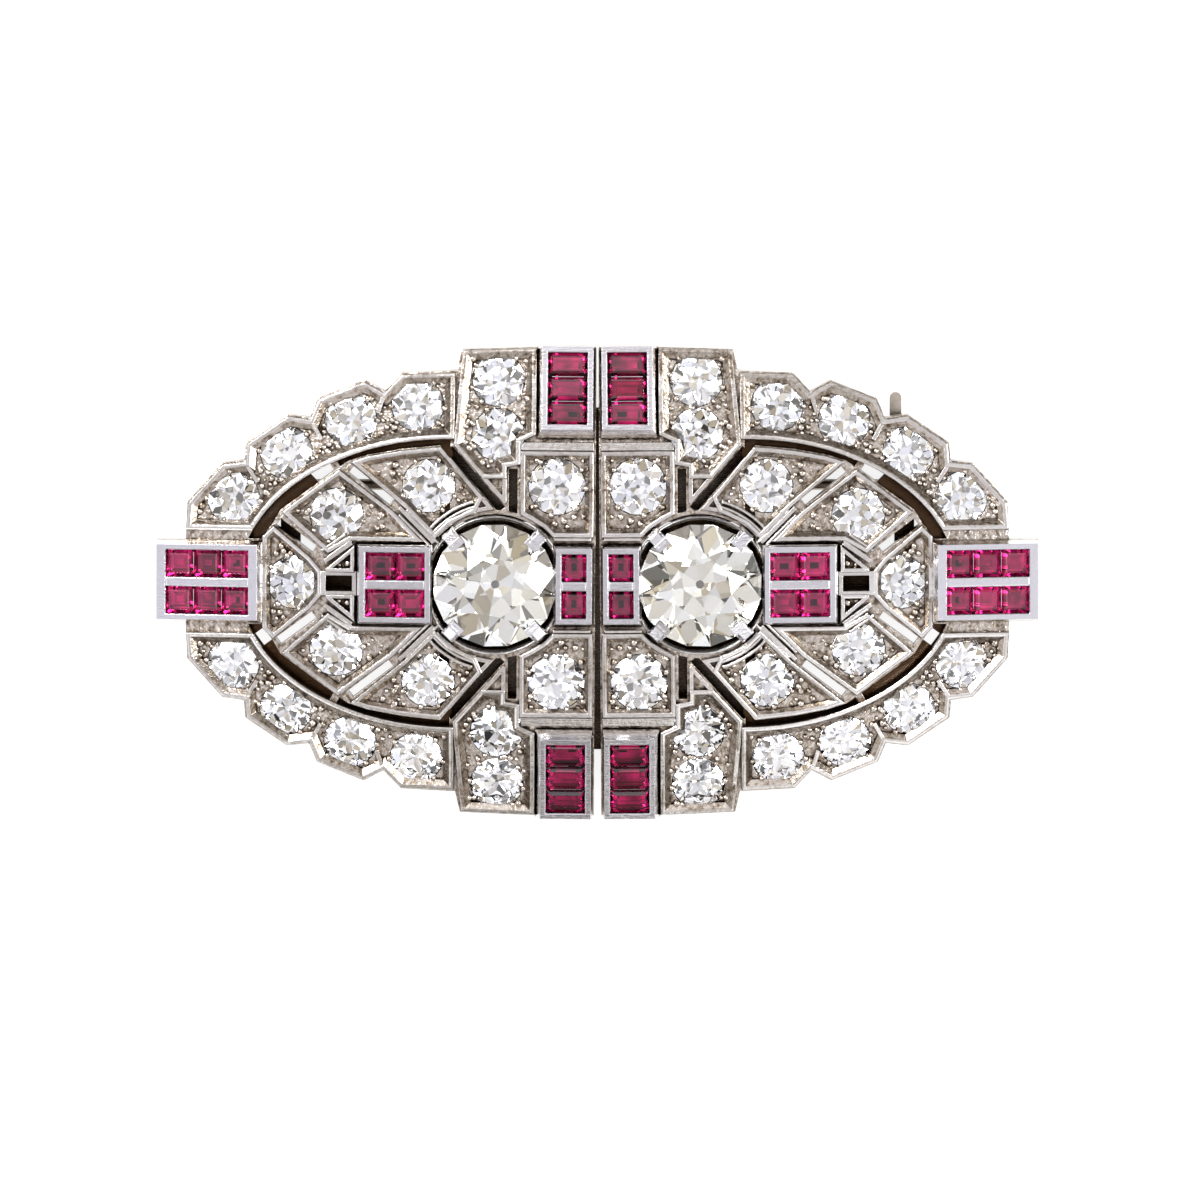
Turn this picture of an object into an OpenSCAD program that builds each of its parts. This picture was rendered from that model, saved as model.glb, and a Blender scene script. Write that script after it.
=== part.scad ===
// Double clip brooch: two mirror-image dress clips side by side on a joining frame with a pin.
// It lies on its back: X along the brooch, Y up the face, Z out of the face, millimetres.

/* [Overall] */
// Length of both clips together
brooch_l = 60; // [57:0.5:63]
// Height of the clips
brooch_h = 32.2; // [31:0.1:34]
// Gap between the clips at mid height
centre_gap = 0.32; // [0.2:0.02:0.6]
// Turn of each clip on the joining frame, in degrees
splay = 0.36; // [0:0.04:0.8]
// Radius of the domed face along the brooch
dome_long_r = 220; // [180:5:400]
// Radius of the domed face up the brooch
dome_high_r = 58; // [50:1:120]

/* [Pierced plate] */
// Thickness of the plate
plate_t = 1.4; // [1.3:0.05:1.6]
// Width of the thin wall round each cell
wall_w = 0.27; // [0.22:0.01:0.32]
// Height of the cell walls over the plate
wall_h = 0.45; // [0.35:0.01:0.6]
// Width of the slanting and upright slots
slot_w = 0.6; // [0.5:0.02:0.7]
// Slot in the middle of the fan, across and up
fan_slot = [1.8, 1.08]; // [0.8:0.01:2]
// Gap between the main stone and its round recess
recess_gap = 0.58; // [0.4:0.02:0.7]
// Width of the bridge across the curved gap
bridge_w = 0.5; // [0.4:0.05:0.8]
// Thickness of the floor under the curved gap
channel_t = 0.4; // [0.3:0.05:0.6]

/* [Ruby panels] */
// Width of a panel's rim
rim_w = 0.53; // [0.45:0.01:0.6]
// Height of a panel's rim over the plate
rim_h = 0.95; // [0.85:0.01:1.1]
// Width of the rim at the two ends of the side panel
side_rim_w = 0.76; // [0.6:0.01:0.9]
// Slope along the rim's outer edge
rim_slope = 0.2; // [0.1:0.01:0.3]
// Width of the bar between two rows of rubies
bar_w = 0.68; // [0.5:0.01:0.8]
// Width of a square ruby of the side panel
side_ruby_w = 1.8; // [1.7:0.01:1.9]
// Width of a square ruby of the inner panel
inner_ruby_w = 1.94; // [1.8:0.01:2.1]
// Width of a square ruby of the edge panel
edge_ruby_w = 1.64; // [1.5:0.01:1.8]
// Height of the square rubies
square_ruby_h = 1.83; // [1.7:0.01:1.95]
// Length of a baguette ruby
baguette_l = 2.65; // [2.4:0.01:2.9]
// Width of a baguette ruby
baguette_w = 1.56; // [1.4:0.01:1.65]
// Depth of a ruby under its girdle
ruby_depth = 0.95; // [0.7:0.01:1.1]
// Height of a ruby over its girdle
ruby_crown = 0.3; // [0.2:0.01:0.4]
// Gap between two rubies
ruby_gap = 0.12; // [0.1:0.01:0.15]

/* [Diamonds] */
// Main diamond
main_d = 8.4; // [7.8:0.05:8.6]
// Height of the main stone's girdle over the plate
main_lift = 0.55; // [0.4:0.05:0.8]
// Reach of the main stone over the rim of the edge panel
main_reach = 0.19; // [0.15:0.01:0.3]
// Diamonds of the scalloped border
scallop_d = 3.56; // [3.3:0.02:3.7]
// Diamonds of the fan
lattice_d = 3.62; // [3.3:0.02:3.7]
// Diamonds of the upright bands
column_d = 3.58; // [3.3:0.02:3.7]
// Diamonds of the square cells
square_d = 3.86; // [3.5:0.02:4]
// Depth of a small stone's girdle under the plate's face
stone_sink = 0.1; // [0.05:0.01:0.15]
// Gap between a stone and its seat
fit = 0.04; // [0.03:0.01:0.06]

/* [Claws] */
// Width of a claw
claw_w = 1.0; // [0.8:0.05:1.2]
// Reach of a claw over the edge of the main stone
claw_grip = 0.62; // [0.5:0.02:0.8]
// Thickness of a claw over the stone
claw_t = 0.3; // [0.2:0.02:0.4]

/* [Back] */
// Diameter of the pin
pin_d = 0.75; // [0.65:0.05:0.85]
// Height of the pin over the table
pin_lift = 0.45; // [0.4:0.05:0.6]
// Room for cloth between the pin and the joining frame
cloth_room = 0.65; // [0.5:0.05:1]
// Thickness of the joining frame
frame_t = 0.8; // [0.7:0.05:1]
// Width of the frame's arm
arm_w = 2.2; // [1.8:0.1:2.4]
// Width of the frame's middle bar
middle_w = 4; // [3:0.1:5]
// Gap round the frame's arm in its guides, and under the main stone
frame_fit = 0.2; // [0.15:0.01:0.3]
// Width of a foot of the frame
foot_w = 1.35; // [1.1:0.05:1.6]
// Width of a fork's prong
prong_w = 1; // [0.8:0.05:1.1]
// Thickness of a fork's prong
prong_t = 0.6; // [0.5:0.05:0.7]
// Width of a lug that carries the fork
lug_w = 0.8; // [0.6:0.05:0.9]

/* [Hidden] */
clip_l = brooch_l / 2;
half_h = brooch_h / 2;
inner_edge = centre_gap / 2;
// Metal that one piece sinks into the next where they are soldered
solder = 0.3;
round_n = 64;
// Facets of the domed plate
dome_columns = 5;
dome_rows = 8;

// Proportions of an old cut diamond, as shares of its width
table_share = 0.5;
crown_share = 0.15;
pavilion_share = 0.43;
girdle_share = 0.03;
culet_share = 0.07;
star_share = 0.74;
lower_half_share = 0.5;
// Open back of a stone's seat, as a share of the stone's width
seat_back_share = 0.78;

// Places are shares of the clip's length, from the centre line, and of its half height, from mid height
column_x = 0.2264;
column_y = 0.743 * half_h;
column_pitch = column_d + 0.06;

clip_outline = [
    [0.14, 0.994], [0.31, 0.983], [0.321, 0.893], [0.445, 0.883], [0.484, 0.804], [0.529, 0.851],
    [0.635, 0.772], [0.653, 0.691], [0.704, 0.703], [0.798, 0.584], [0.801, 0.509], [0.851, 0.497],
    [0.93, 0.333], [0.934, 0.168]
];
border_cell = [
    [0.325, 0.886], [0.445, 0.878], [0.484, 0.8], [0.53, 0.846], [0.634, 0.768], [0.652, 0.686],
    [0.703, 0.699], [0.795, 0.581], [0.798, 0.505], [0.85, 0.493], [0.928, 0.331], [0.933, 0.219]
];
fan_outline = [
    [0.762, 0.181], [0.734, 0.253], [0.718, 0.305], [0.588, 0.484], [0.563, 0.516], [0.519, 0.541],
    [0.446, 0.566], [0.357, 0.583]
];
fan_cells = [
    [
        [0.355, 0.579], [0.446, 0.562], [0.519, 0.537], [0.56, 0.512], [0.438, 0.324], [0.368, 0.194],
        [0.334, 0.255], [0.289, 0.301], [0.235, 0.32]
    ],
    [[0.586, 0.48], [0.715, 0.299], [0.61, 0.126], [0.559, 0.181], [0.395, 0.181], [0.463, 0.309]],
    [[0.55, 0.164], [0.615, 0.063], [0.615, 0.046], [0.55, 0.046]]
];
end_cell = [[0.759, 0.194], [0.734, 0.24], [0.65, 0.109], [0.624, 0.051]];
column_cell = [
    [0.141, 0.992], [0.307, 0.981], [0.327, 0.585], [0.212, 0.343], [0.207, 0.349], [0.207, 0.497],
    [0.176, 0.509], [0.176, 0.602], [0.141, 0.632]
];
square_cell = [
    [0.01, 0.564], [0.175, 0.564], [0.175, 0.299], [0.149, 0.274], [0.122, 0.242], [0.102, 0.204],
    [0.01, 0.204]
];
square_bar = [[0.01, 0.6], [0.174, 0.6], [0.174, 0.568], [0.01, 0.568]];
// Slots: one end across and up, other end across and up
slots = [
    [0.559, 0.476, 0.466, 0.341], [0.723, 0.253, 0.641, 0.139],
    [0.337, 0.568, 0.217, 0.316], [0.192, 0.488, 0.192, 0.295]
];
// Short walls that step in from the notches of the border, and the bands across the fan
ridges = [
    [0.801, 0.509, 0.771, 0.421], [0.653, 0.691, 0.626, 0.602], [0.484, 0.804, 0.499, 0.716],
    [0.448, 0.322, 0.37, 0.178], [0.618, 0.092, 0.556, 0.172]
];
fan_slot_x = 0.585 * clip_l;
// Outer edge of the curved gap: middle, and half axes across and up
gap_curve = [0.334, 0.479, 0.611];
bridge_at = [0.606, 0.531];
// Windows left open in the floor under the curved gap, both ends of each
windows = [[0.638, 0.427, 0.602, 0.495], [0.76, -0.205, 0.74, -0.255]];
window_w = 2 * slot_w;
channel_rise = 0.1;

scallop_places = [[0.825, 0.349], [0.706, 0.545], [0.56, 0.682], [0.409, 0.749]];
lattice_places = [[0.383, 0.413], [0.591, 0.286], [0.686, 0]];
square_place = [0.093, 0.415];

// The main stone lies between the edge panel and the inner panel
panel_margin = 0.08;
panel_edge = inner_edge + panel_margin;
edge_panel_w = edge_ruby_w + 2 * rim_w;
inner_panel_w = 2 * inner_ruby_w + ruby_gap + 2 * rim_w;
main_x = panel_edge + edge_panel_w - main_reach + main_d / 2;
inner_panel_x = main_x + main_d / 2 + inner_panel_w / 2;

// Heights of the back, from the table up
pin_z = pin_lift + pin_d / 2;
frame_z = pin_z + pin_d / 2 + cloth_room;
main_culet_z = frame_z + frame_t + frame_fit;
main_girdle_z = main_culet_z + (pavilion_share + girdle_share / 2) * main_d;
main_sag = dome_long_r - sqrt(pow(dome_long_r, 2) - pow(main_x, 2));
face_z = main_girdle_z - main_lift + main_sag;

// Places of the back's parts
pin_y = 0.391 * half_h;
cross_x = 0.697 * clip_l;
lever_x = 0.677 * clip_l;
lever_y = 0.789 * half_h;
lever_w = 0.8;
lever_t = 0.6;
middle_y = 0.727 * half_h;
arm_reach = 0.83 * clip_l;
guide_places = [0.47, 0.79];
// Plates of the frame behind the inner slots, from the middle out
upper_plate = [
    [-0.02, 0.242], [0.447, 0.242], [0.447, 0.497], [0.61, 0.497], [0.61, 0.585], [0.47, 0.646], [-0.02, 0.646]
];
lower_plate = [[-0.02, -0.6], [0.433, -0.6], [0.433, -0.242], [-0.02, -0.242]];
guide_l = 1.6;
guide_wall = 0.6;
lip_t = 0.45;
fork_y = -0.81 * half_h;
fork_x = 0.227 * clip_l;
barrel_r = 0.65;
barrel_z = 0.85;
axle_r = 0.35;
axle_fit = 0.08;
lug_deep = 1.8;
lug_gap = 0.1;
fork_half = column_d / 2 - lug_gap;
prong_tip_y = pin_y - pin_d / 2 - 1.1;

// Where the middle of the well's ledge lies in from the ruby's edge
ledge_w = 0.25;
table_drop = 0.1;

ruby_girdle = rim_h - table_drop - ruby_crown;

// Ruby panels: name, place across and up, stones across and up, stone's width and height,
// gap between the rows, width of the rim at the ends
side_panel_w = 3 * side_ruby_w + 2 * ruby_gap + 2 * side_rim_w;
end_panel_w = baguette_l + 2 * rim_w;
end_panel_h = 3 * baguette_w + 2 * ruby_gap + 2 * rim_w;
end_panel_x = panel_edge + end_panel_w / 2;
end_panel_y = half_h - end_panel_h / 2;
PANELS = [
    ["side_rubies", clip_l - side_panel_w / 2, 0, 3, 2, side_ruby_w, square_ruby_h, bar_w, side_rim_w],
    ["inner_rubies", inner_panel_x, 0, 2, 2, inner_ruby_w, square_ruby_h, bar_w, rim_w],
    ["edge_rubies", panel_edge + edge_panel_w / 2, 0, 1, 2, edge_ruby_w, square_ruby_h, bar_w, rim_w],
    ["top_rubies", end_panel_x, end_panel_y, 1, 3, baguette_l, baguette_w, ruby_gap, rim_w],
    ["bottom_rubies", end_panel_x, -end_panel_y, 1, 3, baguette_l, baguette_w, ruby_gap, rim_w]
];

// Diamonds: name, place across and up, width, girdle's height over the plate
STONES = concat(
    [["main_diamond", main_x, 0, main_d, main_lift]],
    stone_rows("scallop_diamond_", both_halves(scallop_places), scallop_d),
    stone_rows("lattice_diamond_", both_halves(lattice_places), lattice_d),
    stone_rows("square_diamond_", both_halves([square_place]), square_d),
    stone_rows("column_diamond_", [
        for (s = [1, -1], t = [1, -1])
            [column_x, s * (column_y + t * column_pitch / 2) / half_h]
    ], column_d)
);
SIDES = ["left", "right"];

function placed(points) = [for (p = points) [p.x * clip_l, p.y * half_h]];
function lower(points) = [for (i = [len(points) - 1:-1:0]) [points[i].x, -points[i].y]];
function both_halves(points) = concat(points, [for (p = points) if (p.y > 0) [p.x, -p.y]]);
function stone_rows(name, places, d) = [
    for (i = [0:len(places) - 1])
        [str(name, i + 1), places[i].x * clip_l, places[i].y * half_h, d, -stone_sink]
];

// Height of the domed face, and how it leans
function ring_r(y) = dome_long_r - dome_high_r + sqrt(pow(dome_high_r, 2) - pow(y, 2));
function face_height(x, y) = sqrt(pow(ring_r(y), 2) - pow(x, 2)) - dome_long_r + face_z;
function lean_along(x, y) = asin(x / ring_r(y));
function lean_up(y) = -asin(y / dome_high_r);

module on_face(x, y, rise = 0) {
    translate([x, y, face_height(x, y)])
        rotate([0, lean_along(x, y), 0]) rotate([lean_up(y), 0, 0])
            translate([0, 0, rise]) children();
}

// Everything under the face raised by this much, in small flat facets
module dome(rise) {
    across = [for (i = [0:dome_columns]) -2 + i * (clip_l + 4) / dome_columns];
    up = [for (j = [0:dome_rows]) (2 * j / dome_rows - 1) * (half_h + 1)];
    nx = len(across);
    count = nx * len(up);
    cells = [for (j = [0:dome_rows - 1], i = [0:dome_columns - 1]) j * nx + i];
    rim = concat(
        [for (i = [0:nx - 1]) i], [for (j = [1:dome_rows]) j * nx + nx - 1],
        [for (i = [nx - 2:-1:0]) dome_rows * nx + i], [for (j = [dome_rows - 1:-1:1]) j * nx]
    );
    n = len(rim);
    polyhedron(
        points = concat(
            [for (y = up, x = across) [x, y, face_height(x, y) + rise]],
            [for (y = up, x = across) [x, y, -1]]
        ),
        faces = concat(
            [for (c = cells) [c, c + nx, c + 1]],
            [for (c = cells) [c + nx, c + nx + 1, c + 1]],
            [for (c = cells) [count + c, count + c + 1, count + c + nx]],
            [for (c = cells) [count + c + nx, count + c + 1, count + c + nx + 1]],
            [for (k = [0:n - 1]) [count + rim[k], rim[k], rim[(k + 1) % n]]],
            [for (k = [0:n - 1]) [count + rim[k], rim[(k + 1) % n], count + rim[(k + 1) % n]]]
        )
    );
}

// A flat shape as a curved sheet between two heights over the face
module on_dome(low, high) {
    difference() {
        intersection() {
            linear_extrude(height = face_z + 2) children();
            dome(high);
        }
        dome(low);
    }
}

// Solid through rings of as many points each, from the lowest up
module loft(rings) {
    n = len(rings[0]);
    top = (len(rings) - 1) * n;
    polyhedron(
        points = [for (ring = rings, p = ring) p],
        faces = concat(
            [[for (i = [0:n - 1]) i]],
            [for (k = [0:n:top - n], i = [0:n - 1]) [k + i, k + n + i, k + n + (i + 1) % n, k + (i + 1) % n]],
            [[for (i = [n - 1:-1:0]) top + i]]
        )
    );
}

function rectangle(w, h, z) = [[-w / 2, -h / 2, z], [w / 2, -h / 2, z], [w / 2, h / 2, z], [-w / 2, h / 2, z]];

// Flat shapes of the clip

module mirrored_up() {
    children();
    mirror([0, 1]) children();
}

module strip(line, w) {
    a = [line[0] * clip_l, line[1] * half_h];
    b = [line[2] * clip_l, line[3] * half_h];
    translate(a) rotate(atan2(b.y - a.y, b.x - a.x))
        translate([0, -w / 2]) square([norm(b - a), w]);
}

module outline() {
    edge = placed(clip_outline);
    polygon(concat([[inner_edge, edge[0].y]], edge, lower(edge), [[inner_edge, -edge[0].y]]));
    for (panel = PANELS)
        translate([panel[1], panel[2]]) square(panel_size(panel), center = true);
}

module gap_ellipse(grow = 0) {
    translate([gap_curve[0] * clip_l, 0])
        polygon([
            for (a = [-90:3:90])
                [(gap_curve[1] * clip_l + grow) * cos(a), (gap_curve[2] * half_h + grow) * sin(a)]
        ]);
}

module fan_area() {
    edge = placed(fan_outline);
    polygon(concat(edge, lower(edge)));
}

module curved_gap() {
    difference() {
        gap_ellipse();
        fan_area();
        square([gap_curve[0] * clip_l * 2, brooch_h], center = true);
        translate([clip_l, 0]) square([clip_l, 2 * fan_outline[0].y * half_h], center = true);
        mirrored_up() translate([bridge_at.x * clip_l, bridge_at.y * half_h])
            rotate(-30) square([bridge_w, 3], center = true);
    }
}

module channel_floor() {
    difference() {
        mirrored_up() offset(delta = solder / 2) curved_gap();
        for (line = windows) strip(line, window_w);
    }
}

module holes_2d() {
    mirrored_up() {
        curved_gap();
        difference() {
            for (line = slots) strip(line, slot_w);
            translate([main_x, 0]) circle(r = main_d / 2 + recess_gap + wall_w, $fn = round_n);
        }
    }
    translate([fan_slot_x, 0]) square(fan_slot, center = true);
    difference() {
        translate([main_x, 0]) circle(r = main_d / 2 + recess_gap, $fn = round_n);
        for (panel = PANELS)
            if (panel[2] == 0) translate([panel[1], 0]) square(panel_size(panel), center = true);
    }
}

module plate_2d() {
    difference() {
        outline();
        holes_2d();
    }
}

module wall_round() {
    difference() {
        children();
        offset(delta = -wall_w) children();
    }
}

module walls_2d() {
    intersection() {
        plate_2d();
        union() {
            mirrored_up() {
                wall_round() difference() {
                    polygon(concat(placed(border_cell), [[0.325 * clip_l, 0.219 * half_h]]));
                    gap_ellipse();
                    square([gap_curve[0] * clip_l + fit, gap_curve[2] * half_h]);
                }
                for (cell = concat(fan_cells, [column_cell, square_cell]))
                    wall_round() polygon(placed(cell));
                polygon(placed(square_bar));
                for (line = ridges) strip(line, wall_w);
            }
            wall_round() polygon(concat(placed(end_cell), lower(placed(end_cell))));
            wall_round() translate([fan_slot_x, 0]) offset(delta = wall_w) square(fan_slot, center = true);
        }
    }
}

// Ruby panels

function panel_size(panel) = [
    field_w(panel) + 2 * panel[8],
    panel[4] * panel[6] + (panel[4] - 1) * panel[7] + 2 * rim_w
];
function field_w(panel) = panel[3] * panel[5] + (panel[3] - 1) * ruby_gap;
function row_y(panel, row) = (row - (panel[4] - 1) / 2) * (panel[6] + panel[7]);
function stone_x(panel, column) = (column - (panel[3] - 1) / 2) * (panel[5] + ruby_gap);

module panel_block(panel) {
    size = panel_size(panel);
    on_face(panel[1], panel[2])
        loft([
            rectangle(size.x, size.y, -plate_t / 2),
            rectangle(size.x, size.y, rim_h - rim_slope * 2),
            rectangle(size.x - 2 * rim_slope, size.y - 2 * rim_slope, rim_h)
        ]);
}

// Wells of one panel: the rows' own, or one for the three baguettes
module panel_wells(panel) {
    joined = panel[7] == ruby_gap;
    wells = joined ? [0] : [for (row = [0:panel[4] - 1]) row_y(panel, row)];
    w = field_w(panel);
    h = joined ? panel_size(panel).y - 2 * rim_w : panel[6];
    ledge = ruby_girdle - ledge_w * 2;
    on_face(panel[1], panel[2])
        for (y = wells) translate([0, y, 0]) {
            translate([-w / 2 - fit, -h / 2 - fit, ledge]) cube([w + 2 * fit, h + 2 * fit, rim_h]);
            translate([-w / 2 + ledge_w, -h / 2 + ledge_w, -plate_t - solder])
                cube([w - 2 * ledge_w, h - 2 * ledge_w, plate_t + rim_h + solder]);
        }
}

// Step cut ruby, girdle at height 0
module ruby(w, h) {
    s = min(w, h);
    loft([
        rectangle(w - 0.86 * s, h - 0.86 * s, -ruby_depth),
        rectangle(w - 0.5 * s, h - 0.5 * s, -ruby_depth * 0.72),
        rectangle(w - 0.18 * s, h - 0.18 * s, -ruby_depth * 0.32),
        rectangle(w, h, -0.04),
        rectangle(w, h, 0.04),
        rectangle(w - 0.2 * s, h - 0.2 * s, ruby_crown * 0.7),
        rectangle(w - 0.4 * s, h - 0.4 * s, ruby_crown)
    ]);
}

module rubies(panel) {
    on_face(panel[1], panel[2], ruby_girdle)
        for (column = [0:panel[3] - 1], row = [0:panel[4] - 1])
            translate([stone_x(panel, column), row_y(panel, row), 0]) ruby(panel[5], panel[6]);
}

// Old cut diamonds

function around(r, z, turn) = [for (k = [0:7]) [r * cos(45 * k + turn), r * sin(45 * k + turn), z]];

// Corners of a brilliant whose kite facets are flat
function brilliant_points(d) =
    let (
        r = d / 2,
        half = cos(22.5),
        girdle = girdle_share * d / 2,
        crown = girdle + crown_share * d,
        pavilion = girdle + pavilion_share * d,
        table_r = table_share * r,
        star_r = star_share * r,
        star_z = crown - (star_r * half - table_r) * (crown - girdle) / (r - table_r),
        culet_r = culet_share * r,
        lower_r = lower_half_share * r,
        lower_z = -girdle - (r - lower_r * half) * (pavilion - girdle) / (r - culet_r * half)
    )
    concat(
        around(culet_r, -pavilion, 22.5), around(lower_r, lower_z, 22.5),
        around(r, -girdle, 0), around(r, -girdle, 22.5), around(r, girdle, 0), around(r, girdle, 22.5),
        around(star_r, star_z, 22.5), around(table_r, crown, 0)
    );

module brilliant(d) {
    points = brilliant_points(d);
    hull() polyhedron(points = points, faces = [[for (i = [0:len(points) - 1]) i]]);
}

module diamond(stone) {
    on_face(stone[1], stone[2], stone[4])
        rotate(1110 * stone[1] / clip_l + 370 * stone[2] / half_h) brilliant(stone[3]);
}

// Round seat under and beside a stone, open at the back
module seat(stone) {
    d = stone[3];
    r = d / 2 + fit;
    girdle = girdle_share * d / 2 + fit;
    back_r = seat_back_share * d / 2;
    cone = (pavilion_share * d + fit) * (1 - seat_back_share);
    on_face(stone[1], stone[2], stone[4])
        rotate_extrude($fn = round_n)
            polygon([
                [0, -girdle - cone - plate_t], [back_r, -girdle - cone - plate_t], [back_r, -girdle - cone],
                [r, -girdle], [r, 2 * rim_h], [0, 2 * rim_h]
            ]);
}

// Room for the main stone between the panels
module main_room() {
    r = main_d / 2 + 2 * fit;
    girdle = girdle_share * main_d;
    depth = pavilion_share * main_d + 2 * girdle;
    on_face(main_x, 0, main_lift)
        rotate_extrude($fn = round_n)
            polygon([[0, -depth], [0.5, -depth], [r, -girdle], [r, 3 * rim_h], [0, 3 * rim_h]]);
}

// Four claws round the main stone and the ring that joins them under it
module claws() {
    r = main_d / 2;
    girdle = girdle_share * r;
    crown_slope = crown_share * 2 / (1 - table_share);
    tip_z = girdle + claw_grip * crown_slope + fit;
    ring_z = -0.46 * pavilion_share * main_d;
    ring_in = 0.66 * r;
    ring_w = 0.55;
    on_face(main_x, 0, main_lift) {
        for (a = [48:84:132], m = [0, 1])
            rotate(a + 180 * m) rotate([90, 0, 0])
                linear_extrude(height = claw_w, center = true)
                    polygon([
                        [ring_in + 0.12, ring_z - 0.42], [ring_in + ring_w + 0.2, ring_z - 0.42],
                        [r + recess_gap, -main_lift - plate_t],
                        [r + recess_gap + wall_w, -main_lift - plate_t / 2], [r + recess_gap + wall_w, -main_lift],
                        [r + recess_gap - 0.1, -0.1], [r + 0.25, tip_z - 0.25], [r - 0.1, tip_z + claw_t - 0.08],
                        [r - claw_grip, tip_z + claw_t], [r - claw_grip, tip_z],
                        [r + fit, girdle + fit], [r + fit, -girdle - fit], [ring_in + 0.15, ring_z]
                    ]);
        translate([0, 0, ring_z - 0.5])
            rotate_extrude($fn = round_n) translate([ring_in, 0]) square([ring_w, 0.45]);
    }
}

// Back of a clip

module guide(x) {
    low = frame_z - frame_fit - lip_t;
    high = face_height(x + guide_l / 2, 0) - plate_t + solder;
    w = arm_w + 2 * frame_fit;
    translate([x - guide_l / 2, 0, 0]) difference() {
        translate([0, -w / 2 - guide_wall, low]) cube([guide_l, w + 2 * guide_wall, high - low]);
        translate([-1, -w / 2, frame_z - frame_fit]) cube([guide_l + 2, w, frame_t + 2 * frame_fit]);
        translate([-1, -w / 2 + lip_t, low - 1]) cube([guide_l + 2, w - 2 * lip_t, frame_t + 2]);
    }
}

module lug(x) {
    high = face_height(x + lug_w / 2, fork_y - lug_deep / 2) - plate_t + solder;
    difference() {
        translate([x - lug_w / 2, fork_y - lug_deep / 2, 0]) cube([lug_w, lug_deep, high]);
        translate([x - lug_w, fork_y, barrel_z]) rotate([0, 90, 0])
            cylinder(r = axle_r + axle_fit, h = 2 * lug_w, $fn = round_n);
    }
}

module fork() {
    color("lightgray") {
        translate([fork_x - fork_half, fork_y, barrel_z]) rotate([0, 90, 0])
            cylinder(r = barrel_r, h = 2 * fork_half, $fn = round_n);
        translate([fork_x - fork_half - lug_gap - lug_w, fork_y, barrel_z]) rotate([0, 90, 0])
            cylinder(r = axle_r, h = 2 * (fork_half + lug_gap + lug_w), $fn = round_n);
        for (s = [-1, 1])
            translate([fork_x + s * (fork_half - prong_w / 2), 0, barrel_z - prong_t / 2])
                linear_extrude(height = prong_t)
                    polygon([
                        [-prong_w / 2, fork_y], [prong_w / 2, fork_y], [prong_w / 2, prong_tip_y - 2],
                        [0.15, prong_tip_y], [-0.15, prong_tip_y], [-prong_w / 2, prong_tip_y - 2]
                    ]);
        translate([fork_x - fork_half, fork_y, barrel_z - prong_t / 2])
            cube([2 * fork_half, 2.5, prong_t]);
    }
}

module setting() {
    color("gainsboro") {
        difference() {
            union() {
                on_dome(-plate_t, 0) plate_2d();
                on_dome(channel_rise - plate_t, channel_rise - plate_t + channel_t) channel_floor();
                on_dome(-plate_t / 2, wall_h) walls_2d();
                for (panel = PANELS) panel_block(panel);
            }
            for (stone = STONES) if (stone[3] != main_d) seat(stone);
            for (panel = PANELS) panel_wells(panel);
            main_room();
        }
        claws();
        for (share = guide_places) guide(share * clip_l);
        for (s = [-1, 1]) lug(fork_x + s * (fork_half + lug_gap + lug_w / 2));
    }
}

// Joining frame with the brooch pin

module foot(x) {
    translate([x - foot_w / 2, pin_y - 1.1, 0]) cube([foot_w, 2.2, frame_z + frame_t]);
}

module pin_frame() {
    color("lightgray") {
        translate([-middle_w / 2, -middle_y, frame_z]) cube([middle_w, 2 * middle_y, frame_t]);
        translate([-arm_reach, -arm_w / 2, frame_z]) cube([2 * arm_reach, arm_w, frame_t]);
        for (m = [0, 1], points = [upper_plate, lower_plate])
            mirror([m, 0, 0]) translate([0, 0, frame_z])
                linear_extrude(height = frame_t) polygon(placed(points));
        for (s = [-1, 1])
            translate([s * cross_x - foot_w / 2, 0, frame_z]) cube([foot_w, pin_y + 1.1, frame_t]);
        foot(-cross_x);
        difference() {
            foot(cross_x);
            translate([cross_x - foot_w, pin_y, pin_z]) rotate([0, 90, 0])
                cylinder(d = pin_d + 2 * axle_fit, h = 2 * foot_w, $fn = round_n);
            translate([cross_x - foot_w, pin_y - 3, pin_z - pin_d / 2]) cube([2 * foot_w, 3, pin_d]);
        }
        translate([-cross_x, pin_y, pin_z]) rotate([0, 90, 0]) {
            cylinder(d = pin_d, h = 2 * cross_x - 2, $fn = 32);
            translate([0, 0, 2 * cross_x - 2]) cylinder(d1 = pin_d, d2 = pin_d / 3, h = 3, $fn = 32);
        }
        translate([lever_x, 0, frame_z - lever_t]) linear_extrude(height = lever_t) {
            translate([-lever_w / 2, pin_y + 0.6]) square([lever_w, lever_y - lever_w / 2 - pin_y - 0.6]);
            translate([0, lever_y - lever_w / 2]) circle(d = lever_w, $fn = 32);
        }
    }
}

module on_side(side) {
    mirror([side == "left" ? 1 : 0, 0, 0])
        translate([clip_l / 2, 0, 0]) rotate(splay) translate([-clip_l / 2, 0, 0]) children();
}

on_side("left") setting();  // setting_left
on_side("right") setting();  // setting_right
on_side("left") fork();  // clip_fork_left
on_side("right") fork();  // clip_fork_right
pin_frame();
for (side = SIDES, stone = STONES)
    on_side(side) color("whitesmoke") diamond(stone);
for (side = SIDES, panel = PANELS)
    on_side(side) color("crimson") rubies(panel);
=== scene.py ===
from math import asin, cos, hypot, radians, sin, sqrt
from random import Random

import bpy
from mathutils import Matrix, Vector


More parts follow.
